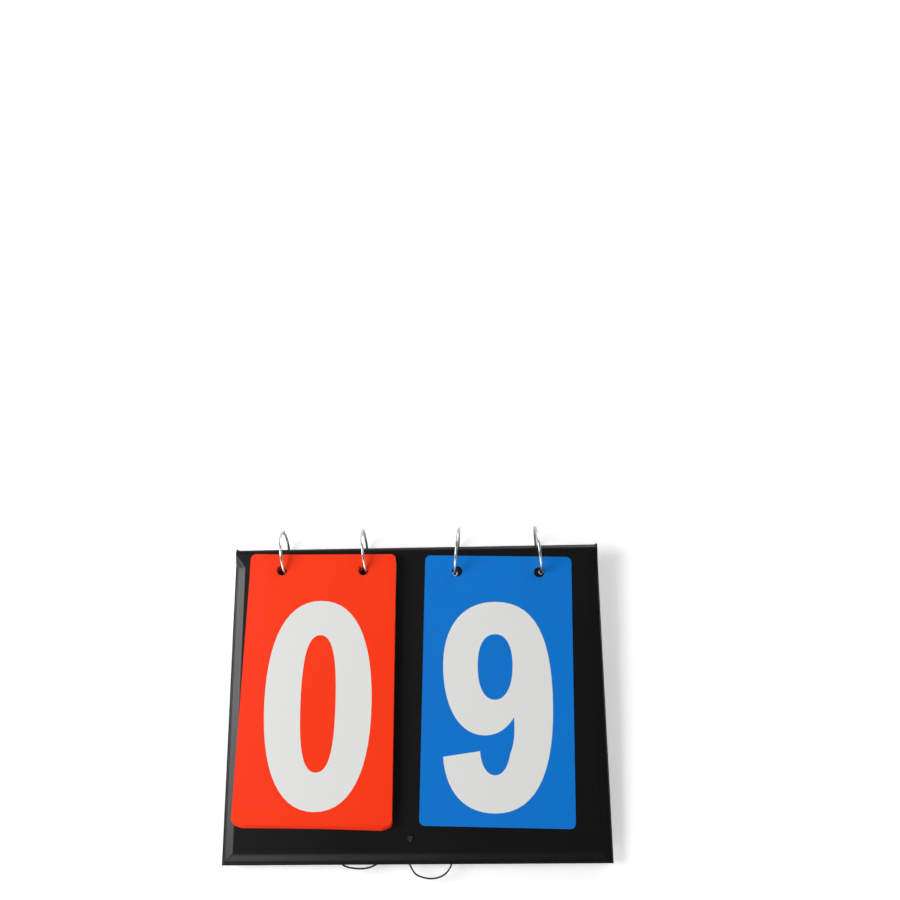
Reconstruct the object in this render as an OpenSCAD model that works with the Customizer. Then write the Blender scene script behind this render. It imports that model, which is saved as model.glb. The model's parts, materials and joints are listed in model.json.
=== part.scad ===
// Tabletop flip scoreboard with two columns of numbered cards.
// The board lies closed, with its spine at +Y and its foot edge at -Y.
// Everything is first drawn about the fold line, with the gap between the covers at z = 0,
// and then tilted by the few degrees at which the closed board rests on its rings and cards.

/* [Covers] */
// Width of the board, left to right
board_w = 210; // [190:1:240]
// Length of the closed board, spine to foot edge
board_l = 170.7; // [166:0.1:200]
// Thickness of the chipboard inside each cover
core_t = 1.5; // [1.2:0.1:2]
// Thickness of the outer vinyl sheet
outer_vinyl_t = 0.35; // [0.25:0.05:0.5]
// Thickness of the inner vinyl sheet
inner_vinyl_t = 0.25; // [0.2:0.05:0.4]
// Gap between the two closed covers
cover_gap = 1.2; // [1.1:0.1:1.6]
// Width of the border that slopes from the chipboard to the edge
border_w = 6; // [4:0.5:8]
// Width of the flat weld along the edge
weld_w = 1.5; // [1:0.1:2.5]
// Length over which each side border rises to the spine's full thickness
corner_l = 8; // [6:0.5:12]
// Play round the chipboard in its pocket
core_play = 0.2; // [0.1:0.05:0.5]
// Distance from the fold line to the chipboard
core_setback = 5; // [4:0.5:8]
// Furthest that the covers open, where the cord stops them
fold_max = 50; // [30:1:55]

/* [Rings] */
// Radius of each book ring at the middle of its wire
ring_r = 13; // [12.5:0.1:14.5]
// Diameter of the ring wire
wire_d = 1.6; // [1.2:0.1:1.8]
// Turn of each ring away from square with the spine
ring_yaw = 6; // [2:0.5:7]
// Radius of the flattened lug at each ring's hinge
lug_r = 1.3; // [1.1:0.05:1.4]
// Thickness of each lug
lug_t = 0.65; // [0.5:0.05:0.75]
// Diameter of the rivet through the lugs
rivet_d = 0.8; // [0.6:0.1:1]
// Diameter of the ring holes through the covers
cover_hole_d = 3.4; // [3.2:0.1:4]

/* [Cards] */
// Width of a card
card_w = 84; // [70:1:86]
// Length of a card
card_l = 146; // [138:1:150]
// Thickness of a card
card_t = 0.3; // [0.2:0.05:0.35]
// Distance from one card to the next in a stack
card_pitch = 0.5; // [0.5:0.05:0.6]
// Gap between the cover and the first card
card_gap = 0.2; // [0.15:0.05:0.4]
// Corner radius of a card
card_corner_r = 3; // [1:0.5:6]
// Diameter of the ring holes in a card
card_hole_d = 6; // [5.8:0.1:7]
// Distance between the two ring holes of a card
hole_spacing = 47; // [40:1:56]
// Distance from a card's top edge to its ring holes
hole_drop = 9; // [8.5:0.5:11]
// Share of the width not covered by cards that lies left of the red column
left_share = 0.238; // [0.2:0.001:0.35]
// Share of the width not covered by cards that lies between the columns
middle_share = 0.393; // [0.35:0.001:0.45]

/* [Numerals] */
// Height of a numeral
numeral_h = 112.5; // [80:0.5:115]
// Thickness of the printed white layer
print_t = 0.05; // [0.02:0.01:0.06]
// Distance from the foot of a numeral to the card's bottom edge
numeral_foot = 7; // [6:0.5:12]

/* [Cord] */
// Diameter of the cord
cord_d = 0.9; // [0.6:0.1:0.9]
// Distance from the foot edge to the cord's holes
cord_inset = 13.3; // [11:0.1:15]
// Distance of each cord hole from the board's middle
cord_hole_x = 3; // [2:0.5:4]
// Diameter of the cord's holes in the covers
cord_hole_d = 1.8; // [1.6:0.1:2.4]
// Diameter of a knot
knot_d = 3.2; // [2.6:0.1:4]
// Height of a knot above the cover
knot_h = 1.1; // [0.8:0.1:1.5]

/* [Hidden] */
$fn = 48;
digits = [0:9];
colours = ["red", "blue"];
// The score that shows is also the number of cards that have been turned over
red_score = 0;
blue_score = 9;
ring_names = ["red_left", "red_right", "blue_left", "blue_right"];

// Colours of the real materials
vinyl_black = [0.06, 0.06, 0.07];
board_grey = [0.55, 0.52, 0.47];
card_red = [0.96, 0.23, 0.1];
card_blue = [0, 0.47, 0.8];
print_white = [0.9, 0.9, 0.91];
ring_silver = [0.78, 0.78, 0.8];
cord_black = [0.08, 0.08, 0.09];

// Heights of the cover's layers above the middle of the gap
inner_z = cover_gap / 2;
core_z = inner_z + inner_vinyl_t;
core_top_z = core_z + core_t;
outer_z = core_top_z + outer_vinyl_t;
edge_z = core_z + outer_vinyl_t;
// The spine is a round about the fold line
spine_r = outer_z;
foot_y = spine_r - board_l;
half_w = board_w / 2;
flat_half_w = half_w - border_w;
weld_half_w = half_w - weld_w;

// The hinge strip's tongue slides under the front skin
tongue_gap = 0.3;
tongue_t = outer_vinyl_t;
tongue_r = spine_r - outer_vinyl_t - tongue_gap;
fold_play = 4;
tongue_lap = 18;
strip_end = 90 - fold_max - fold_play;
tongue_start = strip_end - tongue_lap;
tongue_end = 88;

// Cards hang at the ring's radius, so a ring stays in their holes at any angle
function stack_z(k) = outer_z + card_gap + card_t / 2 + k * card_pitch;
function hole_y(z) = -sqrt(ring_r * ring_r - z * z);
function card_top(z) = hole_y(z) + hole_drop;
last_flipped_z = stack_z(blue_score - 1);
bare_w = board_w - 2 * card_w;
red_x = -half_w + left_share * bare_w + card_w / 2;
column_x = [red_x, red_x + card_w + middle_share * bare_w];
ring_x = [for (x = column_x) each [x - hole_spacing / 2, x + hole_spacing / 2]];
ring_yaws = [ring_yaw, ring_yaw, -ring_yaw, ring_yaw];
red_skew = 0.7;
blue_skew = 1.6;
skew_spread = 1.3;
skew_step = 77;

// The closed board rests on the rings and on the lower edge of the outermost rear card
rest_r = ring_r + wire_d / 2;
rest_y = card_l - card_top(last_flipped_z);
rest_z = last_flipped_z + card_t / 2;
lean = asin(rest_r / norm([rest_y, rest_z])) - atan2(rest_z, rest_y);
// The board's footprint is centred on the origin
front_reach = -foot_y * cos(lean) + edge_z * sin(lean);
back_reach = ring_r * cos(ring_yaw) + lug_r;
centre_y = (front_reach - back_reach) / 2;

// The ring's hinge lies behind the spine, and its wire ends short of the other half's lug
lug_angle = 2 * asin(lug_r / ring_r / 2);
wire_end = lug_angle + 0.6;
lug_stem_end = lug_angle + 3;
stem_w = 0.6 * wire_d;
rivet_play = 0.05;

// Each cover's cord stub ends in the gap, with a flat for the cord
stub_d = 1.2;
stub_flat = 0.3;
stub_play = 0.05;
stub_end_z = -cord_d / 2 - stub_play;
cord_y = foot_y + cord_inset;
// Route of the slack cord, from the front stub round two loops to the rear stub
cord_start = [-cord_hole_x - stub_flat, cord_y];
cord_stop = [cord_hole_x + stub_flat, cord_y];
cord_bends = [
  [-7, 0],
  [-16, -0.5],
  [-30, -1],
  [-39, -3],
  [-43, -9],
  [-38, -14.3],
  [-27, -15.2],
  [-18, -11.5],
  [-13, -8.5],
  [-7, -9],
  [-4, -13],
  [0, -18.5],
  [8, -20.5],
  [15, -18.5],
  [19, -13],
  [19, -6],
  [14, -1],
  [7, 0],
];
cord_route = [cord_start, for (bend = cord_bends) [bend.x, cord_y + bend.y], cord_stop];
cord_sides = 8;
cord_steps = 4;

module place() {
  translate([0, centre_y, rest_r]) rotate([lean, 0, 0]) children();
}

// Draws a front part as it is, and a rear part turned over below the gap
module on_side(side) {
  if (side == "front") children();
  else mirror([0, 0, 1]) children();
}

// Panel with its left, right and foot edges sloping from low_z up to high_z
module sloped_panel(base_half_w, base_z, low_z, high_z) {
  inset = half_w - base_half_w;
  sides = [[base_half_w, base_z], [base_half_w, low_z], [flat_half_w, high_z]];
  foot = [[foot_y + inset, base_z], [foot_y + inset, low_z], [foot_y + border_w, high_z]];
  intersection() {
    rotate([90, 0, 0]) linear_extrude(board_l)
      polygon([each sides, for (i = [2:-1:0]) [-sides[i].x, sides[i].y]]);
    translate([-half_w, 0, 0]) rotate([90, 0, 90]) linear_extrude(board_w)
      polygon([each foot, [0, high_z], [0, base_z]]);
  }
}

module ring_holes(d) {
  for (i = [0:3])
    translate([ring_x[i] + ring_r * sin(ring_yaws[i]), hole_y((inner_z + outer_z) / 2), 0])
      cylinder(h = 3 * outer_z, d = d, center = true);
}

module cord_hole(side) {
  x = side == "front" ? -cord_hole_x : cord_hole_x;
  translate([x, cord_y, 0]) cylinder(h = 3 * outer_z, d = cord_hole_d, center = true);
}

module cover_holes(side) {
  ring_holes(cover_hole_d);
  cord_hole(side);
}

module outer_skin(side) {
  color(vinyl_black) place() on_side(side) {
    difference() {
      sloped_panel(half_w, core_z, edge_z, outer_z);
      sloped_panel(weld_half_w, inner_z, core_z, core_top_z);
      cover_holes(side);
    }
    spine_corner();
    mirror([1, 0, 0]) spine_corner();
  }
}

// Thicker end of the right border, which rises to the spine
module spine_corner() {
  x = [flat_half_w, half_w];
  polyhedron(
    [
      [x[0], -corner_l, core_z], [x[1], -corner_l, core_z], [x[1], 0, core_z], [x[0], 0, core_z],
      [x[0], -corner_l, outer_z], [x[1], -corner_l, edge_z], [x[1], 0, outer_z], [x[0], 0, outer_z],
    ],
    [[0, 1, 2, 3], [0, 4, 5, 1], [1, 5, 6, 2], [2, 6, 7, 3], [3, 7, 4, 0], [4, 6, 5], [4, 7, 6]]
  );
}

module board(side) {
  w = 2 * (flat_half_w - core_play);
  y0 = foot_y + border_w + core_play;
  color(board_grey) place() on_side(side) difference() {
    translate([-w / 2, y0, core_z]) cube([w, -core_setback - y0, core_t]);
    cover_holes(side);
  }
}

module inner_skin(side) {
  color(vinyl_black) place() on_side(side) difference() {
    translate([-half_w, foot_y, inner_z]) cube([board_w, -foot_y, inner_vinyl_t]);
    cover_holes(side);
  }
}

// Part of a round about the fold line, from one angle to another, with +Y at 0 and +Z at 90
module spine_round(from, to, profile) {
  rotate([from, 0, 0]) rotate([90, 0, 90]) rotate_extrude(angle = to - from) polygon(profile);
}

module spine_hinge() {
  under_r = spine_r - outer_vinyl_t;
  tongue_half_w = flat_half_w - tongue_gap;
  web_r = spine_r - outer_vinyl_t / 2;
  color(vinyl_black) place() {
    spine_round(-90, strip_end, strip_band(under_r, spine_r, half_w));
    spine_round(tongue_start, strip_end, strip_band(tongue_r - tongue_t, web_r, tongue_half_w));
    spine_round(tongue_start, tongue_end, strip_band(tongue_r - tongue_t, tongue_r, tongue_half_w));
  }
}

function strip_band(r0, r1, w) = [[r0, -w], [r1, -w], [r1, w], [r0, w]];

module cord_knot(side) {
  x = side == "front" ? -cord_hole_x : cord_hole_x;
  turn = side == "front" ? 180 : 0;
  color(cord_black) place() on_side(side) translate([x, cord_y, 0]) {
    intersection() {
      translate([0, 0, stub_end_z]) cylinder(h = outer_z + knot_h / 2 - stub_end_z, d = stub_d);
      rotate([0, 0, turn]) translate([-stub_d, -stub_d, stub_end_z])
        cube([stub_d + stub_flat, 2 * stub_d, outer_z + knot_h]);
    }
    translate([0, 0, outer_z]) rotate_extrude() intersection() {
      scale([knot_d / 2, knot_h]) circle(r = 1);
      square([knot_d, knot_h]);
    }
  }
}

// One half of a ring: half of the wire, and a lug on its own side of the ring's middle
module ring_half(i, upper) {
  side = upper ? 1 : -1;
  lug_x = upper ? 0 : -lug_t;
  color(ring_silver) place() translate([ring_x[i], 0, 0]) rotate([0, 0, ring_yaws[i]]) {
    mirror([0, 0, upper ? 0 : 1]) spine_wire(wire_end, 180);
    difference() {
      union() {
        translate([lug_x, ring_r, 0]) rotate([0, 90, 0]) cylinder(h = lug_t, r = lug_r);
        mirror([0, 0, upper ? 0 : 1]) lug_stem(lug_x);
      }
      if (!upper) rivet(3 * lug_t, rivet_d + 2 * rivet_play);
    }
    if (upper) rivet(2 * lug_t, rivet_d);
  }
}

// Round bar through both lugs
module rivet(h, d) {
  translate([0, ring_r, 0]) rotate([0, 90, 0]) cylinder(h = h, d = d, center = true);
}

module spine_wire(from, to) {
  rotate([from, 0, 0]) rotate([90, 0, 90]) rotate_extrude(angle = to - from)
    translate([ring_r, 0]) circle(d = wire_d);
}

// Short flat bar that joins a lug to its wire
module lug_stem(lug_x) {
  inner_r = ring_r - stem_w / 2;
  outer_r = ring_r + stem_w / 2;
  back_x = lug_x + lug_t;
  spine_round(0.5, lug_stem_end, [[inner_r, lug_x], [outer_r, lug_x], [outer_r, back_x], [inner_r, back_x]]);
}

function score(colour) = colour == "red" ? red_score : blue_score;

// Height of a card's middle: cards below the score have been turned over to the rear
function card_z(colour, n) = n < score(colour) ? -stack_z(n) : stack_z(9 - n);

// Each card in front hangs a little askew on its rings, by its own angle
function skew(colour, n) =
  n < score(colour) ? 0
    : colour == "red" ? red_skew + skew_spread * abs(sin(skew_step * n))
    : blue_skew;

module on_card(colour, n) {
  x = colour == "red" ? column_x[0] : column_x[1];
  z = card_z(colour, n);
  place() translate([x, hole_y(z), z]) rotate([0, 0, -skew(colour, n)]) children();
}

module card(colour, n) {
  color(colour == "red" ? card_red : card_blue) on_card(colour, n)
    translate([0, 0, -card_t / 2]) linear_extrude(card_t) card_outline();
}

module card_outline() {
  inner_w = card_w - 2 * card_corner_r;
  inner_l = card_l - 2 * card_corner_r;
  difference() {
    translate([0, hole_drop - card_l / 2]) union() {
      square([card_w, inner_l], center = true);
      square([inner_w, card_l], center = true);
      for (sx = [-1, 1], sy = [-1, 1])
        translate([sx * inner_w / 2, sy * inner_l / 2]) circle(r = card_corner_r);
    }
    for (sx = [-1, 1]) translate([sx * hole_spacing / 2, 0]) circle(d = card_hole_d);
  }
}

// White print: the card's own number in front, and the next number on its back
module numeral(colour, n) {
  foot = hole_drop - card_l + numeral_foot;
  color(print_white) on_card(colour, n) {
    translate([0, foot, card_t / 2]) linear_extrude(print_t) glyph(n);
    rotate([0, 180, 0]) translate([0, foot, card_t / 2]) linear_extrude(print_t) glyph((n + 1) % 10);
  }
}

// Numerals are drawn 115 high from their lower left corner. An outline is a start point
// and then corners, [point], or cubic curves, [first handle, second handle, point].
glyph_h = 115;
curve_steps = 14;

nine_size = [62.5, 115.4];
nine_outline = [
  [0.9, 29.1],
  [[2.6, 10.4], [13.2, 0], [29.4, 0]],
  [[51.5, 0], [62.5, 19.5], [62.5, 56.7]],
  [[62.5, 96.5], [52.5, 115.4], [30, 115.4]],
  [[11.6, 115.4], [0, 102], [0, 80.3]],
  [[0, 57], [9.2, 41], [23.75, 41]],
  [[31, 41], [36.5, 44.6], [40.6, 51.2]],
  [[41, 41], [40.6, 37], [38.4, 31.4]],
  [[36.9, 23.6], [34, 19.9], [30, 19.9]],
  [[25.4, 19.9], [22.3, 24.4], [21.5, 32.5]],
];
nine_counter = [
  [19.75, 79.5],
  [[19.75, 67.5], [23.4, 60.4], [29.6, 60.4]],
  [[35.8, 60.4], [39.75, 67.8], [39.75, 79]],
  [[39.75, 90.2], [36.2, 96.9], [30, 96.9]],
  [[23.4, 96.9], [19.75, 90.8], [19.75, 79.5]],
];
glyph_w = [61, 43, 61.5, 62, 64.4, 60, 62.5, 60, 62, 62.5];
outlines = [
  [[
    [0, 57.5],
    [[0, 21], [10.5, 0], [30.5, 0]],
    [[50.5, 0], [61, 21], [61, 57.5]],
    [[61, 94], [50.5, 115], [30.5, 115]],
    [[10.5, 115], [0, 94], [0, 57.5]],
  ], [
    [20.6, 57.5],
    [[20.6, 84], [23.6, 95.5], [30.6, 95.5]],
    [[37.6, 95.5], [40.6, 84], [40.6, 57.5]],
    [[40.6, 31], [37.6, 20.5], [30.6, 20.5]],
    [[23.6, 20.5], [20.6, 31], [20.6, 57.5]],
  ]],
  [[
    [22, 0],
    [[43, 0]],
    [[43, 115]],
    [[26.5, 115]],
    [[23, 103.5], [14, 97], [0, 96]],
    [[0, 79.5]],
    [[22, 79.5]],
  ]],
  [[
    [0, 0],
    [[60.5, 0]],
    [[60.5, 21]],
    [[27, 21]],
    [[31, 27.5], [37, 32.5], [43, 38.5]],
    [[54.5, 50.5], [61.5, 62], [61.5, 80.5]],
    [[61.5, 103], [49.5, 115], [31.5, 115]],
    [[12, 115], [1, 102], [1, 76.5]],
    [[20.5, 76.5]],
    [[20.8, 89.5], [23.5, 96.5], [31, 96.5]],
    [[38, 96.5], [41, 90.5], [41, 80.5]],
    [[41, 68], [34.5, 60], [26, 51]],
    [[10, 36], [0.5, 22], [0, 3]],
  ]],
  [[
    [0.5, 35],
    [[1, 12.5], [11.5, 0], [30, 0]],
    [[50, 0], [62, 13], [62, 34.5]],
    [[62, 47.5], [56.5, 57], [47, 60.5]],
    [[55, 65], [59.5, 74], [59.5, 84.5]],
    [[59.5, 103.5], [48.5, 115], [30.5, 115]],
    [[12, 115], [2.5, 103.5], [2, 82]],
    [[21.5, 82]],
    [[22, 92], [24.5, 97], [30.5, 97]],
    [[36.5, 97], [39.5, 91.5], [39.5, 83.5]],
    [[39.5, 73], [35, 69], [25, 69]],
    [[25, 52]],
    [[36, 52], [41.5, 47], [41.5, 35.5]],
    [[41.5, 24], [37.5, 18], [30, 18]],
    [[23, 18], [20, 24], [20, 35]],
  ]],
  [[
    [0, 22],
    [[36.5, 22]],
    [[36.5, 0]],
    [[54.5, 0]],
    [[54.5, 22]],
    [[64.4, 22]],
    [[64.4, 46.5]],
    [[54.5, 46.5]],
    [[54.5, 115]],
    [[36, 115]],
    [[0, 48.5]],
  ], [
    [17.5, 46.5],
    [[36.5, 80.5]],
    [[36.5, 46.5]],
  ]],
  [[
    [0, 31],
    [[2, 11], [12, 0], [29, 0]],
    [[49, 0], [60, 15], [60, 38.5]],
    [[60, 61], [50.5, 76], [34.5, 76]],
    [[29, 76], [25, 74.5], [21.5, 71.5]],
    [[23.5, 92]],
    [[56, 92]],
    [[56, 115]],
    [[7.5, 115]],
    [[1.5, 52]],
    [[20, 50]],
    [[22, 55], [25, 57.5], [29.5, 57.5]],
    [[36.5, 57.5], [40, 50.5], [40, 38.5]],
    [[40, 26], [36.5, 18.5], [29.5, 18.5]],
    [[24, 18.5], [21, 23.5], [20.3, 33]],
  ]],
  [for (outline = [nine_outline, nine_counter]) turned(outline)],
  [[
    [0, 94],
    [[0, 115]],
    [[60, 115]],
    [[60, 97]],
    [[45, 76], [35, 42], [33, 0]],
    [[12, 0]],
    [[14, 38], [22.5, 70], [38.5, 94]],
  ]],
  [[
    [0, 33],
    [[0, 12], [12, 0], [31, 0]],
    [[50, 0], [62, 12], [62, 33]],
    [[62, 46.5], [57, 56], [48, 61]],
    [[55.5, 65.5], [59.5, 73.5], [59.5, 84]],
    [[59.5, 103.5], [49, 115], [31, 115]],
    [[13, 115], [2.5, 103.5], [2.5, 84]],
    [[2.5, 73.5], [6.5, 65.5], [14, 61]],
    [[5, 56], [0, 46.5], [0, 33]],
  ], [
    [21.5, 83.5],
    [[21.5, 92.5], [24.7, 97.5], [31, 97.5]],
    [[37.3, 97.5], [40.5, 92.5], [40.5, 83.5]],
    [[40.5, 74], [37.3, 69], [31, 69]],
    [[24.7, 69], [21.5, 74], [21.5, 83.5]],
  ], [
    [20, 35],
    [[20, 46], [23.7, 52], [31, 52]],
    [[38.3, 52], [42, 46], [42, 35]],
    [[42, 24], [38.3, 18], [31, 18]],
    [[23.7, 18], [20, 24], [20, 35]],
  ]],
  [nine_outline, nine_counter],
];

// The six is the nine turned half round
function turned_point(p) = nine_size - p;
function turned(outline) = [
  turned_point(outline[0]),
  for (i = [1:len(outline) - 1]) [for (p = outline[i]) turned_point(p)],
];

function end_of(outline, i) = i == 0 ? outline[0] : outline[i][len(outline[i]) - 1];
function cubic(p, h, t) =
  pow(1 - t, 3) * p + 3 * t * pow(1 - t, 2) * h[0] + 3 * t * t * (1 - t) * h[1] + pow(t, 3) * h[2];
function traced(outline) = [
  outline[0],
  for (i = [1:len(outline) - 1])
    each len(outline[i]) == 1
      ? outline[i]
      : [for (k = [1:curve_steps]) cubic(end_of(outline, i - 1), outline[i], k / curve_steps)],
];
// A closed outline's last point is dropped where it repeats the first
function open_ring(points) =
  norm(points[0] - points[len(points) - 1]) < 0.01
    ? [for (i = [0:len(points) - 2]) points[i]]
    : points;

module glyph(n) {
  scale(numeral_h / glyph_h) translate([-glyph_w[n] / 2, 0]) difference() {
    polygon(open_ring(traced(outlines[n][0])));
    if (len(outlines[n]) > 1)
      for (i = [1:len(outlines[n]) - 1]) polygon(open_ring(traced(outlines[n][i])));
  }
}

// Smooth curve through the route's points
function route_point(i) = cord_route[min(max(i, 0), len(cord_route) - 1)];
function smooth_between(i, t) =
  let (a = route_point(i - 1), b = route_point(i), c = route_point(i + 1), d = route_point(i + 2))
    0.5 * (2 * b + (c - a) * t + (2 * a - 5 * b + 4 * c - d) * t * t
      + (3 * b - a - 3 * c + d) * t * t * t);
cord_line = [
  for (i = [0:len(cord_route) - 2], k = [0:cord_steps - 1]) smooth_between(i, k / cord_steps),
  cord_stop,
];
cord_length = path_length(cord_line);
echo(cord_length = cord_length);

function path_length(points) =
  [for (i = [1:len(points) - 1]) norm(points[i] - points[i - 1])]
    * [for (i = [1:len(points) - 1]) 1];

// Direction square to the line at a point, which is level at both ends to meet the stubs
function side_dir(points, i) =
  let (a = points[max(i - 1, 0)], b = points[min(i + 1, len(points) - 1)], d = (b - a) / norm(b - a))
    i == 0 || i == len(points) - 1 ? [0, 1] * sign(d.x) : [-d.y, d.x];

module limit_cord() {
  rings = len(cord_line);
  points = [
    for (i = [0:rings - 1], k = [0:cord_sides - 1])
      let (s = side_dir(cord_line, i), a = (k + 0.5) * 360 / cord_sides, r = cord_d / 2)
        [cord_line[i].x + r * cos(a) * s.x, cord_line[i].y + r * cos(a) * s.y, r * sin(a)],
  ];
  sides = [
    for (i = [0:rings - 2], k = [0:cord_sides - 1])
      let (j = (k + 1) % cord_sides, a = i * cord_sides, b = a + cord_sides)
        [a + k, a + j, b + j, b + k],
  ];
  start_cap = [for (k = [cord_sides - 1:-1:0]) k];
  stop_cap = [for (k = [0:cord_sides - 1]) (rings - 1) * cord_sides + k];
  color(cord_black) place() polyhedron(points, [each sides, start_cap, stop_cap]);
}

for (side = ["rear", "front"]) {
  outer_skin(side);
  board(side);
  inner_skin(side);
  cord_knot(side);
}
spine_hinge();
for (colour = colours, n = digits) {
  card(colour, n);
  numeral(colour, n);
}
for (i = [0:3]) {
  ring_half(i, true);
  ring_half(i, false);
}
limit_cord();
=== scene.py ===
# %% [markdown]
# A tabletop flip scoreboard lies closed on a white table: two vinyl-covered panels hinged
# along a spine, with a red and a blue stack of numbered cards on four book rings.
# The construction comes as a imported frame, in metres, and this script gives it its looks.
# It is read from top to bottom, as a lesson: first the frame, the camera and the cord, then
# the materials, then each piece in turn, and the light last.

import json
import math

import bmesh
import bpy
from mathutils import Matrix, Vector
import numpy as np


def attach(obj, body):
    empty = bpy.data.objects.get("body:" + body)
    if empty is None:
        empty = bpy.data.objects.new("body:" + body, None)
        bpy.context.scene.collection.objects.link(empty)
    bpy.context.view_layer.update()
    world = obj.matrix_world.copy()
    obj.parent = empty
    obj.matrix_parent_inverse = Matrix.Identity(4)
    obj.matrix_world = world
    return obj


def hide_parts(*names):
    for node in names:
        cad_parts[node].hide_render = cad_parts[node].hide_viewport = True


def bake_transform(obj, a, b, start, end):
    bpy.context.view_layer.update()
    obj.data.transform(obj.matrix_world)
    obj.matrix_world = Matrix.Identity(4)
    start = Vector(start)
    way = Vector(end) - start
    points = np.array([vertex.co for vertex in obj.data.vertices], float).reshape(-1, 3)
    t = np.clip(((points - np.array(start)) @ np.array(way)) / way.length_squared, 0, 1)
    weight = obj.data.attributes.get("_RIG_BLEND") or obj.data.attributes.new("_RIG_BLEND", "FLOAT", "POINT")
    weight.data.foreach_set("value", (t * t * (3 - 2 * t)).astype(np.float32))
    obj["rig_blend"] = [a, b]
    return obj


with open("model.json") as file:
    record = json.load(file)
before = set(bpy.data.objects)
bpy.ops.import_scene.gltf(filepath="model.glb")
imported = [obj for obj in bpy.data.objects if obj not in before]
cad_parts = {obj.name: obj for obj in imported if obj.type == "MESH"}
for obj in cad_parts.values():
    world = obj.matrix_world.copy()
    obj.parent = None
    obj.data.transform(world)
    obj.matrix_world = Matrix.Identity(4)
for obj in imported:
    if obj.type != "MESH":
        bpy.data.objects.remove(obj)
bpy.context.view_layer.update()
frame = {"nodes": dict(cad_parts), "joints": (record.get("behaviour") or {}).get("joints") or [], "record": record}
scene = bpy.context.scene

# %% [markdown]
# The board doesn't lie level. Its spine end rests on the rings and its foot end on the cards
# that were turned over, so the whole board leans by a few degrees. Every piece is easier to
# draw flat, so the pieces are drawn in the board's own millimetres, with the fold line as the
# X axis and the middle of the gap between the covers at z = 0, and one matrix places them.
# Both the fold line's place and the lean are read from the frame, never typed.

# %% The board's own millimetres
MM = 0.001
joints = {joint["name"]: joint for joint in frame["joints"]}
fold_point = Vector(joints["cover_fold"]["pos_m"])
foot_axis = next(m["axis"] for m in frame["record"]["mounts"] if m["name"] == "rear_foot")
lean = math.atan2(-foot_axis[2], -foot_axis[1])
BOARD = Matrix.Translation(fold_point) @ Matrix.Rotation(lean, 4, "X") @ Matrix.Scale(MM, 4)


def place(x, y, z):
    return BOARD @ Vector((x, y, z))


print("fold line at", tuple(round(c, 4) for c in fold_point))
print(f"lean: {math.degrees(lean):.2f} degrees")

# %% [markdown]
# The photograph was taken from above with a phone-like lens, tipped back a little so that the
# spine end is further away. The place and tilt below come from a fit of the board's corners
# and card corners to the picture, which is square.

# %% Camera
CAMERA_MM = (39.2, -26.1, 541.8)
CAMERA_TILT = (17.3, 2.2, -0.58)
LENS = 36.79
SENSOR = 36

camera_data = bpy.data.cameras.new("photo_camera")
camera_data.sensor_width = SENSOR
camera_data.lens = LENS
camera = bpy.data.objects.new("photo_camera", camera_data)
camera.location = Vector(CAMERA_MM) * MM
camera.rotation_euler = [math.radians(a) for a in CAMERA_TILT]
scene.collection.objects.link(camera)
scene.camera = camera
print("camera at", tuple(round(c, 3) for c in camera.location))

# %% [markdown]
# Meshes are built from plain lists of points and faces. One helper turns such lists into an
# object, places it on the board and smooths it, keeping edges sharper than 35 degrees crisp.
# A second one sweeps a ring of points along a path, which gives cords, wires and knots.

# %% Mesh helpers
CREASE = math.radians(35)


def add_piece(name, points, faces, material, matrix=BOARD):
    mesh = bpy.data.meshes.new(name)
    mesh.from_pydata([tuple(p) for p in points], [], faces)
    mesh.transform(matrix)
    mesh.shade_smooth()
    mesh.set_sharp_from_angle(angle=CREASE)
    mesh.materials.append(material)
    piece = bpy.data.objects.new(name, mesh)
    scene.collection.objects.link(piece)
    return piece


def sweep(path, radius, sides, closed=False):
    """Points and faces of a tube of one radius along a path of points."""
    count = len(path)
    points = []
    side = None
    for i, point in enumerate(path):
        before = path[i - 1] if closed or i > 0 else point
        after = path[(i + 1) % count] if closed or i < count - 1 else point
        along = (after - before).normalized()
        if side is None:
            side = along.orthogonal().normalized()
        side = (side - along * side.dot(along)).normalized()
        up = along.cross(side)
        for k in range(sides):
            a = 2 * math.pi * k / sides
            points.append(point + radius * (math.cos(a) * side + math.sin(a) * up))
    faces = []
    for i in range(count if closed else count - 1):
        near, far = i * sides, (i + 1) % count * sides
        for k in range(sides):
            j = (k + 1) % sides
            faces.append((near + k, near + j, far + j, far + k))
    if not closed:
        faces.append(tuple(range(sides - 1, -1, -1)))
        faces.append(tuple((count - 1) * sides + k for k in range(sides)))
    return points, faces


print("mesh helpers ready")

# %% [markdown]
# Colours are written as sRGB hex, as a colour picker shows them, and one function turns them
# into the linear values that a renderer works in. Materials are node graphs, and one helper
# adds a node with its settings and its links, so that a material reads as a short recipe.

# %% Colour and node helpers


def linear(hex_colour):
    channels = [int(hex_colour[i : i + 2], 16) / 255 for i in (1, 3, 5)]
    return [c / 12.92 if c <= 0.04045 else ((c + 0.055) / 1.055) ** 2.4 for c in channels] + [1.0]


def add_node(material, kind, settings=None, **inputs):
    """Adds a node. An input is a value, or another node's output socket to link from.

    Inputs go by name, or by number after an underscore where several share one name.
    """
    node = material.node_tree.nodes.new(kind)
    for name, value in (settings or {}).items():
        setattr(node, name, value)
    for name, value in inputs.items():
        socket = node.inputs[int(name[1:]) if name[0] == "_" else name.replace("_", " ")]
        if isinstance(value, bpy.types.NodeSocket):
            material.node_tree.links.new(value, socket)
        else:
            socket.default_value = value
    return node


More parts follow.
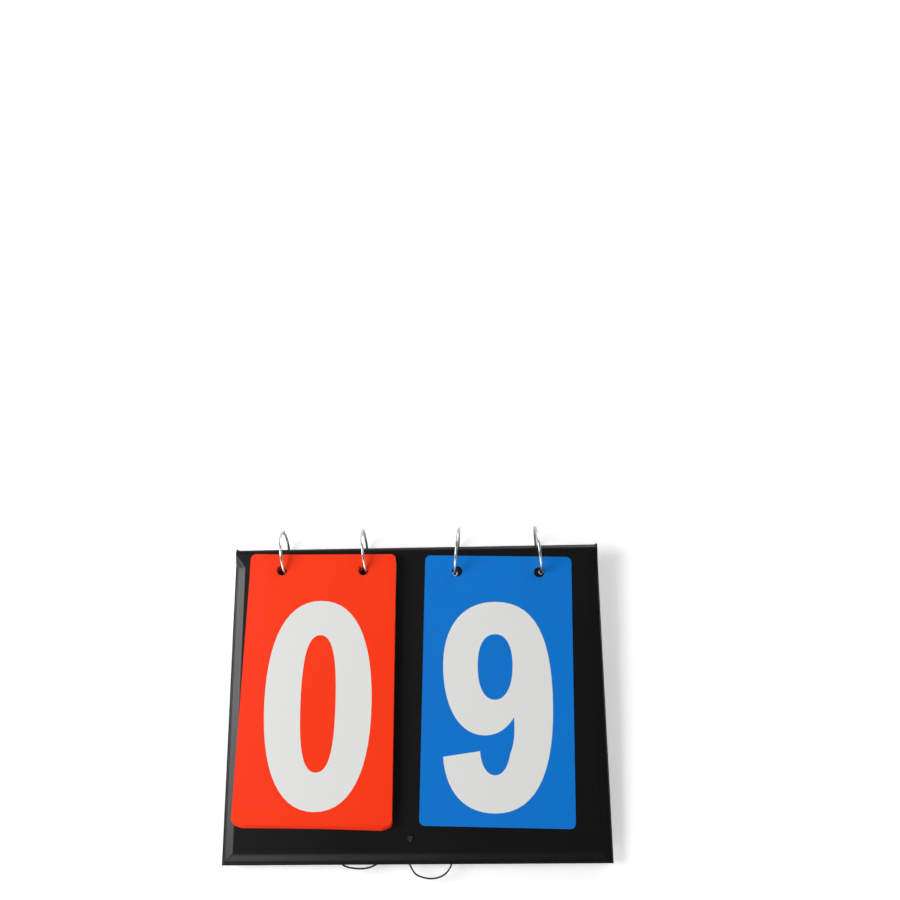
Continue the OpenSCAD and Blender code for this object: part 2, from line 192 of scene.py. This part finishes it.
def new_material(name):
    """A material with its principled shader, and object coordinates in millimetres."""
    material = bpy.data.materials.new(name)
    material.use_nodes = True
    place_node = add_node(material, "ShaderNodeTexCoord")
    in_mm = add_node(
        material, "ShaderNodeVectorMath", {"operation": "SCALE"}, _0=place_node.outputs["Object"]
    )
    in_mm.inputs["Scale"].default_value = 1 / MM
    return material, material.node_tree.nodes["Principled BSDF"], in_mm.outputs["Vector"]


def set_shader(shader, **values):
    for name, value in values.items():
        shader.inputs[name.replace("_", " ")].default_value = value


def add_bump(material, shader, height, strength, depth_mm, below=None):
    bump = add_node(
        material, "ShaderNodeBump", Strength=strength, Distance=depth_mm * MM, Height=height
    )
    if below:
        material.node_tree.links.new(below, bump.inputs["Normal"])
    material.node_tree.links.new(bump.outputs["Normal"], shader.inputs["Normal"])
    return bump.outputs["Normal"]


print("colour and node helpers ready")

# %% [markdown]
# The cord is braided polyester, 0.9 mm thick and matt black. A braid is two sets of threads
# that cross, and at this thickness it reads as a fine diamond relief, which two crossed
# wave patterns give. Its thread spacing is drawn at 0.35 mm, coarser than life, to show.

# %% Material: braided polyester cord
CORD_THREAD = 0.35

cord_polyester, shader, in_mm = new_material("braided_polyester_cord")
set_shader(shader, Base_Color=linear("#0E0E10"), Roughness=0.75, Sheen_Weight=0.08)
waves = [
    add_node(
        cord_polyester,
        "ShaderNodeTexWave",
        {"bands_direction": direction},
        Vector=in_mm,
        Scale=1 / CORD_THREAD / 6,
        Distortion=0.6,
    )
    for direction in ("X", "Y")
]
braid = add_node(
    cord_polyester,
    "ShaderNodeMath",
    {"operation": "MULTIPLY"},
    _0=waves[0].outputs["Fac"],
    _1=waves[1].outputs["Fac"],
)
add_bump(cord_polyester, shader, braid.outputs["Value"], 0.6, 0.08)
print("material:", cord_polyester.name)

# %% [markdown]
# A slack cord joins the covers near the foot edge and stops the tent from opening too far.
# Closed, it lies in the gap between the covers and two of its loops peep out below the foot
# edge. The route's points are those of the construction. A cord could be a curve, but this
# one has to stretch from one cover to the other when the board opens, so it is a mesh tube
# that can be blended: each point's share of the fold follows its place along the cord.

# %% Limit cord
CORD_D = 0.9
CORD_HOLE_X = 3
STUB_FLAT = 0.3
CORD_Y = -154.7
CORD_STEPS = 10
CORD_SIDES = 10
CORD_BENDS = [
    (-7, 0),
    (-16, -0.5),
    (-30, -1),
    (-39, -3),
    (-43, -9),
    (-38, -14.3),
    (-27, -15.2),
    (-18, -11.5),
    (-13, -8.5),
    (-7, -9),
    (-4, -13),
    (0, -18.5),
    (8, -20.5),
    (15, -18.5),
    (19, -13),
    (19, -6),
    (14, -1),
    (7, 0),
]
STUB_X = CORD_HOLE_X + STUB_FLAT
CORD_ROUTE = [(-STUB_X, 0)] + CORD_BENDS + [(STUB_X, 0)]


def smooth_route(route, steps):
    """Catmull-Rom curve through the route's points."""
    points = [Vector((x, CORD_Y + y, 0)) for x, y in route]
    last = len(points) - 1
    smooth = []
    for i in range(last):
        a, b, c, d = (points[min(max(j, 0), last)] for j in range(i - 1, i + 3))
        for k in range(steps):
            t = k / steps
            smooth.append(
                0.5 * (2 * b + (c - a) * t + (2 * a - 5 * b + 4 * c - d) * t**2
                       + (3 * b - a - 3 * c + d) * t**3)
            )
    return smooth + [points[last]]


cord_line = smooth_route(CORD_ROUTE, CORD_STEPS)
limit_cord = add_piece(
    "braided_limit_cord", *sweep(cord_line, CORD_D / 2, CORD_SIDES), cord_polyester
)
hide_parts("limit_cord")
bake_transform(limit_cord, "rear_cover", "front_cover", start=place(0, 0, -1), end=place(0, 0, 1))
front_share = limit_cord.data.attributes["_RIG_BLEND"]
for i in range(len(cord_line)):
    travelled = i / (len(cord_line) - 1)
    for k in range(CORD_SIDES):
        front_share.data[i * CORD_SIDES + k].value = 1 - travelled

# %% [markdown]
# The covers are wrapped in soft PVC vinyl with a fine embossed leather grain. What the eye
# gets from it is a deep black with a weak, broken shine: a low specular level, medium
# roughness that varies a little, and a grain of small cells. The cells are drawn 0.9 mm
# across, with a finer crinkle on top, and low waves where the vinyl isn't stuck flat.

# %% Material: embossed PVC vinyl
GRAIN_CELL = 0.9
CRINKLE = 0.3
WAVE_LENGTH = 45


def vinyl(name, colour, grain_strength):
    material, shader, in_mm = new_material(name)
    set_shader(shader, Base_Color=linear(colour), IOR=1.52, Specular_IOR_Level=0.32)
    cells = add_node(
        material,
        "ShaderNodeTexVoronoi",
        {"feature": "DISTANCE_TO_EDGE"},
        Vector=in_mm,
        Scale=1 / GRAIN_CELL,
    )
    flat_cells = add_node(
        material, "ShaderNodeMapRange", _0=cells.outputs["Distance"], _1=0.0, _2=0.28
    )
    crinkle = add_node(
        material, "ShaderNodeTexNoise", Vector=in_mm, Scale=1 / CRINKLE, Detail=3.0
    )
    waves = add_node(
        material, "ShaderNodeTexNoise", Vector=in_mm, Scale=1 / WAVE_LENGTH, Detail=1.0
    )
    rough = add_node(
        material, "ShaderNodeMapRange", _0=waves.outputs["Fac"], _3=0.3, _4=0.4
    )
    material.node_tree.links.new(rough.outputs["Result"], shader.inputs["Roughness"])
    low = add_bump(material, shader, waves.outputs["Fac"], 0.35, 0.6)
    mid = add_bump(material, shader, flat_cells.outputs["Result"], grain_strength, 0.05, low)
    add_bump(material, shader, crinkle.outputs["Fac"], grain_strength * 0.7, 0.03, mid)
    return material


outer_vinyl = vinyl("embossed_pvc_vinyl", "#08080A", 0.3)
inner_vinyl = vinyl("smooth_pvc_lining", "#0C0C0F", 0.12)
print("materials:", outer_vinyl.name, inner_vinyl.name)

# %% [markdown]
# Inside each cover is a sheet of grey chipboard, pressed waste paper. It is matt, with short
# fibres and specks, and shows only where a hole cuts through it.

# %% Material: grey chipboard
FIBRE = 0.4

chipboard, shader, in_mm = new_material("grey_chipboard")
set_shader(shader, Roughness=0.95)
fibres = add_node(chipboard, "ShaderNodeTexNoise", Vector=in_mm, Scale=1 / FIBRE, Detail=4.0)
fibre_tone = add_node(
    chipboard,
    "ShaderNodeMix",
    {"data_type": "RGBA"},
    _0=fibres.outputs["Fac"],
    _6=linear("#8D8578"),
    _7=linear("#B5AC9C"),
)
chipboard.node_tree.links.new(fibre_tone.outputs["Result"], shader.inputs["Base Color"])
add_bump(chipboard, shader, fibres.outputs["Fac"], 0.4, 0.05)
print("material:", chipboard.name)

# %% [markdown]
# The cards are die-cut from calendered polypropylene sheet, dyed through. Calendering leaves
# a satin skin with a very fine orange peel, and handling leaves faint scuffs, which only show
# as slightly rougher streaks. The dye is even, so the colour varies by hardly a hundredth.
# The cut edges carry a painted highlight: a face that doesn't point along the card's thickness
# belongs to an edge, and its dye is mixed with a paler one, as if the edge caught the light.

# %% Materials: dyed polypropylene sheet
PEEL = 0.6
SCUFF_LENGTH = 14
EDGE_HIGHLIGHT_MIX = 0.6
board_up = BOARD.to_3x3().normalized() @ Vector((0, 0, 1))


# cut is the pale colour of the painted highlight on the cards' cut edges.
def card_plastic(name, light, dark, cut):
    material, shader, in_mm = new_material(name)
    set_shader(shader, IOR=1.49, Specular_IOR_Level=0.28)
    cloud = add_node(material, "ShaderNodeTexNoise", Vector=in_mm, Scale=1 / 60, Detail=2.0)
    dye = add_node(
        material,
        "ShaderNodeMix",
        {"data_type": "RGBA"},
        _0=cloud.outputs["Fac"],
        _6=linear(dark),
        _7=linear(light),
    )
    facing = add_node(
        material,
        "ShaderNodeVectorMath",
        {"operation": "DOT_PRODUCT"},
        _0=add_node(material, "ShaderNodeTexCoord").outputs["Normal"],
        _1=board_up,
    )
    flatness = add_node(
        material, "ShaderNodeMath", {"operation": "ABSOLUTE"}, _0=facing.outputs["Value"]
    )
    # Painted highlight: faces across the card's thickness, its cut edges, get the paler colour mixed in.
    painted_edge_highlight = add_node(
        material,
        "ShaderNodeMapRange",
        _0=flatness.outputs["Value"],
        _1=0.6,
        _2=0.97,
        _3=EDGE_HIGHLIGHT_MIX,
        _4=0.0,
    )
    dye_and_painted_highlight = add_node(
        material,
        "ShaderNodeMix",
        {"data_type": "RGBA"},
        _0=painted_edge_highlight.outputs["Result"],
        _6=dye.outputs["Result"],
        _7=linear(cut),
    )
    material.node_tree.links.new(dye_and_painted_highlight.outputs["Result"], shader.inputs["Base Color"])
    stretched = add_node(
        material, "ShaderNodeMapping", Vector=in_mm, Scale=(3 / SCUFF_LENGTH, 0.6 / SCUFF_LENGTH, 1)
    )
    scuffs = add_node(
        material, "ShaderNodeTexNoise", Vector=stretched.outputs["Vector"], Scale=6.0, Detail=5.0
    )
    rough = add_node(
        material, "ShaderNodeMapRange", _0=scuffs.outputs["Fac"], _1=0.35, _2=0.7, _3=0.36, _4=0.5
    )
    material.node_tree.links.new(rough.outputs["Result"], shader.inputs["Roughness"])
    peel = add_node(material, "ShaderNodeTexNoise", Vector=in_mm, Scale=1 / PEEL, Detail=2.0)
    add_bump(material, shader, peel.outputs["Fac"], 0.08, 0.03)
    return material


# The third colour of each is the pale tint of its painted edge highlight.
red_plastic = card_plastic("red_polypropylene_sheet", "#FF3908", "#F93305", "#FFB9A6")
blue_plastic = card_plastic("blue_polypropylene_sheet", "#0077D2", "#0070CA", "#9CCBF2")
print("materials:", red_plastic.name, blue_plastic.name)

# %% [markdown]
# The numerals are screen-printed white ink. Ink on plastic is matt, a touch grey, and carries
# the mesh of the screen as a very faint relief, here 0.3 mm from thread to thread.

# %% Material: screen-printed white ink
SCREEN_THREAD = 0.3

white_ink, shader, in_mm = new_material("screen_printed_white_ink")
set_shader(shader, Base_Color=linear("#E1E2DF"), Roughness=0.62, Specular_IOR_Level=0.3)
screen = add_node(
    white_ink, "ShaderNodeTexNoise", Vector=in_mm, Scale=1 / SCREEN_THREAD, Detail=1.0
)
add_bump(white_ink, shader, screen.outputs["Fac"], 0.15, 0.02)
print("material:", white_ink.name)

# %% [markdown]
# Book rings are drawn steel wire, bent and nickel plated. Nickel is a warm, slightly yellow
# silver. The plating is bright, with a roughness near 0.15 that handling blurs in patches,
# and drawing the wire left faint lines along it.

# %% Material: nickel-plated steel wire
HANDLED_PATCH = 3

nickel, shader, in_mm = new_material("nickel_plated_steel_wire")
set_shader(shader, Base_Color=linear("#D3D0CB"), Metallic=1.0)
patches = add_node(nickel, "ShaderNodeTexNoise", Vector=in_mm, Scale=1 / HANDLED_PATCH, Detail=3.0)
worn = add_node(nickel, "ShaderNodeMapRange", _0=patches.outputs["Fac"], _3=0.12, _4=0.3)
nickel.node_tree.links.new(worn.outputs["Result"], shader.inputs["Roughness"])
add_bump(nickel, shader, patches.outputs["Fac"], 0.1, 0.04)
print("material:", nickel.name)

# %% [markdown]
# Each cover is a sandwich: outer vinyl, chipboard, inner vinyl. The chipboard stops short of
# the edge and the two sheets are welded together all round, so the outer sheet slopes down to
# a flat welded rim with a pressed line in it. One height function of the distance to the
# nearest edge describes all of that, and a grid that is finest near the edges samples it.
# Because the same distances are used across and along, the corners come out mitred, as welded
# corners are. The sheet gets its real thickness from a Solidify modifier.

# %% Outer skins of the covers
HALF_W = 105
SPINE_R = 2.7
BOARD_L = 170.7
FOOT_Y = SPINE_R - BOARD_L
BORDER_W = 6
WELD_W = 1.5
EDGE_Z = 1.2
OUTER_VINYL_T = 0.35
INNER_VINYL_T = 0.25
INNER_Z = 0.6
CORE_Z = INNER_Z + INNER_VINYL_T
CORNER_L = 8
COVER_HOLE_D = 3.4
CORD_HOLE_D = 1.8
HOLE_SIDES = 32
CUT_REACH = 6
WELD_LINE_DEPTH = 0.12
WELD_LINE_AT = 0.75
WELD_LINE_REACH = 0.3
RIM_ROUND = 0.12
RIM_ROUND_W = 0.3
SLOPE_EASE = 0.3
FLAT_FROM = -3
FINE_STEPS = [0, 0.15, 0.45, 0.6, 0.75, 0.9, 1.05, 1.2, 1.5, 1.9, 2.4, 3, 3.6, 4.2, 4.8, 5.3, 5.7,
              6, 6.3, 6.8]
COARSE_STEP = 7


def skin_height(edge_distance):
    """Height of the outer skin's face above the middle of the gap."""
    d = edge_distance
    slope = min(max((d - WELD_W) / (BORDER_W - WELD_W), 0), 1)
    eased = (1 - SLOPE_EASE) * slope + SLOPE_EASE * slope * slope * (3 - 2 * slope)
    line = WELD_LINE_DEPTH * max(0, 1 - ((d - WELD_LINE_AT) / WELD_LINE_REACH) ** 2)
    round_over = RIM_ROUND * max(0, 1 - d / RIM_ROUND_W) ** 2
    return EDGE_Z + (SPINE_R - EDGE_Z) * eased - line - round_over


def spread(start, stop, step):
    count = max(1, math.ceil((stop - start) / step))
    return [start + (stop - start) * i / count for i in range(count + 1)]


left_steps = [-HALF_W + d for d in FINE_STEPS]
right_steps = [HALF_W - d for d in reversed(FINE_STEPS)]
ACROSS = left_steps + spread(left_steps[-1], right_steps[0], COARSE_STEP)[1:-1] + right_steps
foot_steps = [FOOT_Y + d for d in FINE_STEPS]
corner_steps = spread(-CORNER_L, FLAT_FROM, 0.5)
ALONG = foot_steps + spread(foot_steps[-1], -CORNER_L, COARSE_STEP)[1:-1] + corner_steps


def edge_distance(x, y):
    """Distance to the nearest edge. Near the spine the side borders rise, as if further in."""
    rise = BORDER_W * max(0, 1 + y / CORNER_L)
    return min(HALF_W - abs(x) + rise, y - FOOT_Y)


def walled_row(y, sign):
    """One row across a cover, with the sheet turned down at both sides to meet the lining."""
    row = [(x, y, sign * skin_height(edge_distance(x, y))) for x in ACROSS]
    return [(-HALF_W, y, sign * CORE_Z)] + row + [(HALF_W, y, sign * CORE_Z)]


def grid_faces(rows, columns):
    return [
        (r * columns + c, r * columns + c + 1, (r + 1) * columns + c + 1, (r + 1) * columns + c)
        for r in range(rows - 1)
        for c in range(columns - 1)
    ]


def apply_modifiers(piece):
    """Puts what the modifiers make into the piece's own mesh."""
    made = bpy.data.meshes.new_from_object(
        piece.evaluated_get(bpy.context.evaluated_depsgraph_get())
    )
    piece.modifiers.clear()
    piece.data = made
    made.shade_smooth()
    made.set_sharp_from_angle(angle=CREASE)


def add_thickness(piece, thickness_mm):
    solidify = piece.modifiers.new("sheet_thickness", "SOLIDIFY")
    solidify.thickness = thickness_mm * MM
    solidify.offset = -1


def drill(piece, places, diameter):
    """Cuts round holes square through the covers at (x, y) places."""
    sides = HOLE_SIDES
    points, faces = [], []
    for x, y in places:
        first = len(points)
        for z in (-CUT_REACH, CUT_REACH):
            for k in range(sides):
                a = 2 * math.pi * k / sides
                points.append((x + diameter / 2 * math.cos(a), y + diameter / 2 * math.sin(a), z))
        for k in range(sides):
            j = (k + 1) % sides
            faces.append((first + k, first + j, first + sides + j, first + sides + k))
        faces.append(tuple(first + k for k in range(sides - 1, -1, -1)))
        faces.append(tuple(first + sides + k for k in range(sides)))
    cutter = add_piece(piece.name + "_cutter", points, faces, outer_vinyl)
    cut = piece.modifiers.new("holes", "BOOLEAN")
    cut.operation = "DIFFERENCE"
    cut.solver = "EXACT"
    cut.object = cutter
    bpy.context.view_layer.update()
    apply_modifiers(piece)
    bpy.data.objects.remove(cutter)


RING_R = 13
WIRE_D = 1.6
RING_YAW = 6
COLUMN_X = {"red": -53.004, "blue": 47.502}
HOLE_SPACING = 47
ring_yaws = dict(red_left=RING_YAW, red_right=RING_YAW, blue_left=-RING_YAW, blue_right=RING_YAW)
ring_x = {
    f"{colour}_{side}": x + sign * HOLE_SPACING / 2
    for colour, x in COLUMN_X.items()
    for side, sign in (("left", -1), ("right", 1))
}
hole_height = (INNER_Z + SPINE_R) / 2
hole_y = -math.sqrt(RING_R**2 - hole_height**2)
ring_holes = [
    (x + RING_R * math.sin(math.radians(ring_yaws[name])), hole_y) for name, x in ring_x.items()
]


def add_cover_skin(side):
    sign = 1 if side == "front" else -1
    points = [point for y in ALONG for point in walled_row(y, sign)]
    faces = grid_faces(len(ALONG), len(ACROSS) + 2)
    if sign < 0:
        faces = [tuple(reversed(face)) for face in faces]
    skin = add_piece(side + "_cover_vinyl", points, faces, outer_vinyl)
    add_thickness(skin, OUTER_VINYL_T)
    drill(skin, ring_holes, COVER_HOLE_D)
    drill(skin, [(-sign * CORD_HOLE_X, CORD_Y)], CORD_HOLE_D)
    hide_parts(side + "_outer_skin")
    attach(skin, side + "_cover")
    return skin


for side in ("rear", "front"):
    skin = add_cover_skin(side)
    print(skin.name, len(skin.data.vertices), "points")

# %% [markdown]
# The spine is the same sheet of vinyl, running round from one cover to the other. It is the
# hinge, so it has to bend: each point's share of the fold runs from 0 at the rear cover to 1
# at the front one, and because the round is centred on the fold line, bending keeps its
# radius. The welded rim at its two ends can't lie flat round the fold, so it stands out as a
# small ear at each corner. The lining does the same inside, as a tight turn between the covers.

# %% Spine and inner hinge
TURN_STEPS = 28
EAR = 0.8
EAR_W = 1.6
turn_angles = [-math.pi / 2 + math.pi * i / TURN_STEPS for i in range(TURN_STEPS + 1)]


def spine_radius(x, angle):
    """The welded rim stands out a little where it goes round the fold, as a small ear."""
    in_rim = max(0, 1 - (HALF_W - abs(x)) / EAR_W)
    return SPINE_R + EAR * in_rim * math.cos(angle) ** 2


def turned(x, radius, angle):
    return (x, radius * math.cos(angle), radius * math.sin(angle))


def add_turn(name, rows, thickness, half, material):
    """A sheet that comes along the rear cover, turns round the fold line and goes back."""
    points = [point for row in rows for point in row]
    outwards = [tuple(reversed(face)) for face in grid_faces(len(rows), len(rows[0]))]
    sheet = add_piece(name, points, outwards, material)
    add_thickness(sheet, thickness)
    apply_modifiers(sheet)
    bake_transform(sheet, "rear_cover", "front_cover", start=place(0, 0, -half), end=place(0, 0, half))
    return sheet


spine_rows = [walled_row(y, -1) for y in (FLAT_FROM, -2.5, -2, -1.5, -1, -0.5)]
for angle in turn_angles:
    wall = [turned(x, CORE_Z, angle) for x in (-HALF_W, HALF_W)]
    round_row = [turned(x, spine_radius(x, angle), angle) for x in ACROSS]
    spine_rows.append([wall[0]] + round_row + [wall[1]])
spine_rows += [walled_row(y, 1) for y in (-0.5, -1, -1.5, -2, -2.5, FLAT_FROM)]
spine = add_turn("spine_vinyl", spine_rows, OUTER_VINYL_T, SPINE_R, outer_vinyl)
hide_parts("spine_hinge")
lining_across = spread(-HALF_W, HALF_W, COARSE_STEP)
lining_rows = [[turned(x, CORE_Z, angle) for x in lining_across] for angle in turn_angles]
lining_turn = add_turn("inner_hinge_lining", lining_rows, INNER_VINYL_T, CORE_Z, inner_vinyl)
print("spine:", len(spine.data.vertices), "points; lining turn:", len(lining_turn.data.vertices))

# %% [markdown]
# The chipboards and the flat linings are right as the construction made them, so those nodes
# stay and only get their materials.

# %% Chipboards and linings


def finish_node(name, material):
    node = frame["nodes"][name]
    node.data.materials.clear()
    node.data.materials.append(material)
    return node


for side in ("rear", "front"):
    finish_node(side + "_board", chipboard)
    finish_node(side + "_inner_skin", inner_vinyl)
print("chipboards and linings finished")

# %% [markdown]
# A die leaves a card's edge slightly rounded, and that round catches the light as a fine
# bright line, which is what separates the cards of a stack to the eye. A Bevel modifier gives
# it. The printed numerals lie on the cards as their own thin layer.

# %% Cards and numerals
DIE_ROUND = 0.12
DIGITS = range(10)

for colour, material in (("red", red_plastic), ("blue", blue_plastic)):
    for n in DIGITS:
        card = finish_node(f"{colour}_card_{n}", material)
        bevel = card.modifiers.new("die_cut_edge", "BEVEL")
        bevel.width = DIE_ROUND * MM
        bevel.segments = 2
        bevel.limit_method = "ANGLE"
        finish_node(f"{colour}_numeral_{n}", white_ink)
print("cards:", 2 * len(DIGITS))

# %% [markdown]
# A book ring is two half circles of wire. At one end their flattened lugs are riveted
# together as a hinge, and at the other they snap into each other. Each half is a swept
# circle whose section is pressed flat towards the lug and necks in at the snap, and the lugs
# and the rivet's two heads are turned shapes.

# %% Book rings
LUG_R = 1.3
LUG_T = 0.65
FLATTEN_FROM = math.radians(15)
WIRE_END = math.radians(6)
SNAP_NECK = math.radians(2.2)
WIRE_STEPS = 72
WIRE_SIDES = 16
LATHE_SIDES = 28
LUG_PROFILE = [(0, 0), (LUG_R - 0.15, 0), (LUG_R, 0.12), (LUG_R, LUG_T - 0.12),
               (LUG_R - 0.15, LUG_T), (0, LUG_T)]
HEAD_ABOVE_LUG = [(0, -0.1), (0.78, -0.1), (0.78, 0.05), (0.6, 0.2), (0.3, 0.27), (0, 0.29)]
HEAD_PROFILE = [(radius, LUG_T + height) for radius, height in HEAD_ABOVE_LUG]
NECKING = 0.16
FLAT_RADIAL = 0.9


def half_ring_mesh(upper):
    side = 1 if upper else -1
    points = []
    for i in range(WIRE_STEPS + 1):
        angle = WIRE_END + (math.pi - WIRE_END) * i / WIRE_STEPS
        flat = min(max((FLATTEN_FROM - angle) / (FLATTEN_FROM - WIRE_END), 0), 1)
        flat = flat * flat * (3 - 2 * flat)
        neck = 1 - NECKING * max(0, 1 - (math.pi - angle) / SNAP_NECK)
        axial = (WIRE_D / 2 * (1 - flat) + LUG_T / 2 * flat) * neck
        radial = (WIRE_D / 2 * (1 - flat) + FLAT_RADIAL * WIRE_D / 2 * flat) * neck
        shift = side * LUG_T / 2 * flat
        for k in range(WIRE_SIDES):
            a = 2 * math.pi * k / WIRE_SIDES
            r = RING_R + radial * math.cos(a)
            x = shift + axial * math.sin(a)
            points.append((x, r * math.cos(angle), side * r * math.sin(angle)))
    faces = grid_faces_closed(WIRE_STEPS + 1, WIRE_SIDES)
    add_lathe(points, faces, LUG_PROFILE, side)
    add_lathe(points, faces, HEAD_PROFILE, side)
    return points, faces


def grid_faces_closed(rows, columns):
    faces = []
    for r in range(rows - 1):
        near, far = r * columns, (r + 1) * columns
        for c in range(columns):
            d = (c + 1) % columns
            faces.append((near + c, near + d, far + d, far + c))
    faces.append(tuple(range(columns - 1, -1, -1)))
    faces.append(tuple((rows - 1) * columns + c for c in range(columns)))
    return faces


def add_lathe(points, faces, profile, side):
    """Turned solid about the ring's rivet, from (radius, height) points along +x or -x."""
    first = len(points)
    inner = profile[1:-1]
    points.append((side * profile[0][1], RING_R, 0))
    for radius, height in inner:
        for k in range(LATHE_SIDES):
            a = 2 * math.pi * k / LATHE_SIDES
            points.append((side * height, RING_R + radius * math.cos(a), radius * math.sin(a)))
    points.append((side * profile[-1][1], RING_R, 0))
    last = len(points) - 1
    rows = [first + 1 + LATHE_SIDES * i for i in range(len(inner))]
    for k in range(LATHE_SIDES):
        j = (k + 1) % LATHE_SIDES
        faces.append((first, rows[0] + j, rows[0] + k))
        for near, far in zip(rows, rows[1:]):
            faces.append((near + k, near + j, far + j, far + k))
        faces.append((rows[-1] + k, rows[-1] + j, last))


def face_outwards(piece):
    work = bmesh.new()
    work.from_mesh(piece.data)
    bmesh.ops.recalc_face_normals(work, faces=work.faces)
    work.to_mesh(piece.data)
    work.free()


for name, x in ring_x.items():
    turn = Matrix.Translation((x, 0, 0)) @ Matrix.Rotation(math.radians(ring_yaws[name]), 4, "Z")
    for half in ("upper", "lower"):
        wire = add_piece(
            f"{name}_book_ring_{half}", *half_ring_mesh(half == "upper"), nickel, BOARD @ turn
        )
        face_outwards(wire)
        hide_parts(f"{name}_ring_{half}")
        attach(wire, f"{name}_ring")
print("rings:", len(ring_x), "of two halves each")

# %% [markdown]
# The cord ends in a small overhand knot outside each cover. Pulled tight, such a knot is a
# trefoil, so a short tube runs along a trefoil curve, with a straight stub through the hole.

# %% Cord knots
KNOT_LOOP = 0.4
KNOT_RISE = 0.22
KNOT_STEPS = 72


def add_knot(side):
    sign = 1 if side == "front" else -1
    x = -sign * CORD_HOLE_X
    loop = []
    for i in range(KNOT_STEPS):
        t = 2 * math.pi * i / KNOT_STEPS
        loop.append(
            Vector((
                x + KNOT_LOOP * (math.sin(t) + 2 * math.sin(2 * t)),
                CORD_Y + KNOT_LOOP * (math.cos(t) - 2 * math.cos(2 * t)),
                sign * (SPINE_R + CORD_D / 2 + KNOT_RISE - KNOT_RISE * math.sin(3 * t)),
            ))
        )
    points, faces = sweep(loop, CORD_D / 2, CORD_SIDES, closed=True)
    stub = [Vector((x, CORD_Y, sign * z)) for z in (-CORD_D / 2, 0.5, 1.5, SPINE_R + CORD_D / 2)]
    stub_points, stub_faces = sweep(stub, CORD_D / 2, CORD_SIDES)
    first = len(points)
    faces += [tuple(first + corner for corner in face) for face in stub_faces]
    knot = add_piece(side + "_overhand_knot", points + stub_points, faces, cord_polyester)
    face_outwards(knot)
    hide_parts(side + "_cord_knot")
    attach(knot, side + "_cover")


for side in ("rear", "front"):
    add_knot(side)
print("knots: 2")

# %% [markdown]
# The board lies on a white table under soft studio light. The table's own colour takes the
# lamps' light and so keeps the board's soft shadow. Far from the board it also glows, for the
# camera alone, so that it reaches pure white. Black vinyl mirrors what is overhead, so the
# ceiling is kept dark and three broad lamps stand low around the board: the key lamp to the
# left, where it makes the left border shine as in the photo, and one each behind and before.

# %% Table, lamps and sky
TABLE_SIZE = 6
KEY_WATTS = 18
BACK_WATTS = 11.6
FRONT_WATTS = 11.6
SKY_STRENGTH = 0.12
CEILING_FROM = 0.15
CEILING_TO = 0.4
TABLE_GLOW = 0.3
GLOW_FROM_MM = 300
GLOW_TO_MM = 1100
TABLE_BELOW = 0.0002

bpy.ops.mesh.primitive_plane_add(size=TABLE_SIZE, location=(0, 0, -TABLE_BELOW))
table = bpy.context.object
table.name = "white_table"
table_white, shader, in_mm = new_material("white_table_top")
set_shader(shader, Base_Color=linear("#FCFCFC"), Roughness=0.9, Specular_IOR_Level=0.1)
set_shader(shader, Emission_Color=linear("#FFFFFF"))
table_rays = add_node(table_white, "ShaderNodeLightPath")
from_middle = add_node(table_white, "ShaderNodeVectorMath", {"operation": "LENGTH"}, _0=in_mm)
far_glow = add_node(
    table_white,
    "ShaderNodeMapRange",
    _0=from_middle.outputs["Value"],
    _1=GLOW_FROM_MM,
    _2=GLOW_TO_MM,
    _3=TABLE_GLOW,
    _4=1.0,
)
glow = add_node(
    table_white,
    "ShaderNodeMath",
    {"operation": "MULTIPLY"},
    _0=table_rays.outputs["Is Camera Ray"],
    _1=far_glow.outputs["Result"],
)
table_white.node_tree.links.new(glow.outputs["Value"], shader.inputs["Emission Strength"])
table.data.materials.append(table_white)


def add_lamp(name, place_m, size, watts):
    data = bpy.data.lights.new(name, "AREA")
    data.size = size
    data.energy = watts
    lamp = bpy.data.objects.new(name, data)
    lamp.location = place_m
    lamp.rotation_euler = (-Vector(place_m)).to_track_quat("-Z", "Y").to_euler()
    scene.collection.objects.link(lamp)


add_lamp("key_softbox", (-1.15, 0.1, 0.95), 0.8, KEY_WATTS)
add_lamp("back_softbox", (0.5, 1.2, 0.6), 0.9, BACK_WATTS)
add_lamp("front_softbox", (-0.75, -1.15, 0.45), 0.9, FRONT_WATTS)

world = bpy.data.worlds.new("studio_sky")
world.use_nodes = True
dim_sky = world.node_tree.nodes["Background"]
dim_sky.inputs["Color"].default_value = linear("#FFFFFF")
dim_sky.inputs["Strength"].default_value = SKY_STRENGTH
backdrop = add_node(world, "ShaderNodeBackground", Color=linear("#FFFFFF"), Strength=1.0)
rays = add_node(world, "ShaderNodeLightPath")
direction = add_node(
    world, "ShaderNodeSeparateXYZ", _0=add_node(world, "ShaderNodeTexCoord").outputs["Generated"]
)
low = add_node(
    world,
    "ShaderNodeMapRange",
    _0=direction.outputs["Z"],
    _1=CEILING_FROM,
    _2=CEILING_TO,
    _3=1.0,
    _4=0.0,
)
mirrored = add_node(
    world,
    "ShaderNodeMath",
    {"operation": "MAXIMUM"},
    _0=rays.outputs["Is Glossy Ray"],
    _1=rays.outputs["Is Transmission Ray"],
)
low_mirrored = add_node(
    world,
    "ShaderNodeMath",
    {"operation": "MULTIPLY"},
    _0=mirrored.outputs["Value"],
    _1=low.outputs["Result"],
)
seen = add_node(
    world,
    "ShaderNodeMath",
    {"operation": "MAXIMUM"},
    _0=rays.outputs["Is Camera Ray"],
    _1=low_mirrored.outputs["Value"],
)
sky = add_node(
    world,
    "ShaderNodeMixShader",
    _0=seen.outputs["Value"],
    _1=dim_sky.outputs["Background"],
    _2=backdrop.outputs["Background"],
)
world_output = world.node_tree.nodes["World Output"]
world.node_tree.links.new(sky.outputs["Shader"], world_output.inputs["Surface"])
scene.world = world
scene.view_settings.view_transform = "Standard"
print("table, 3 lamps and sky")
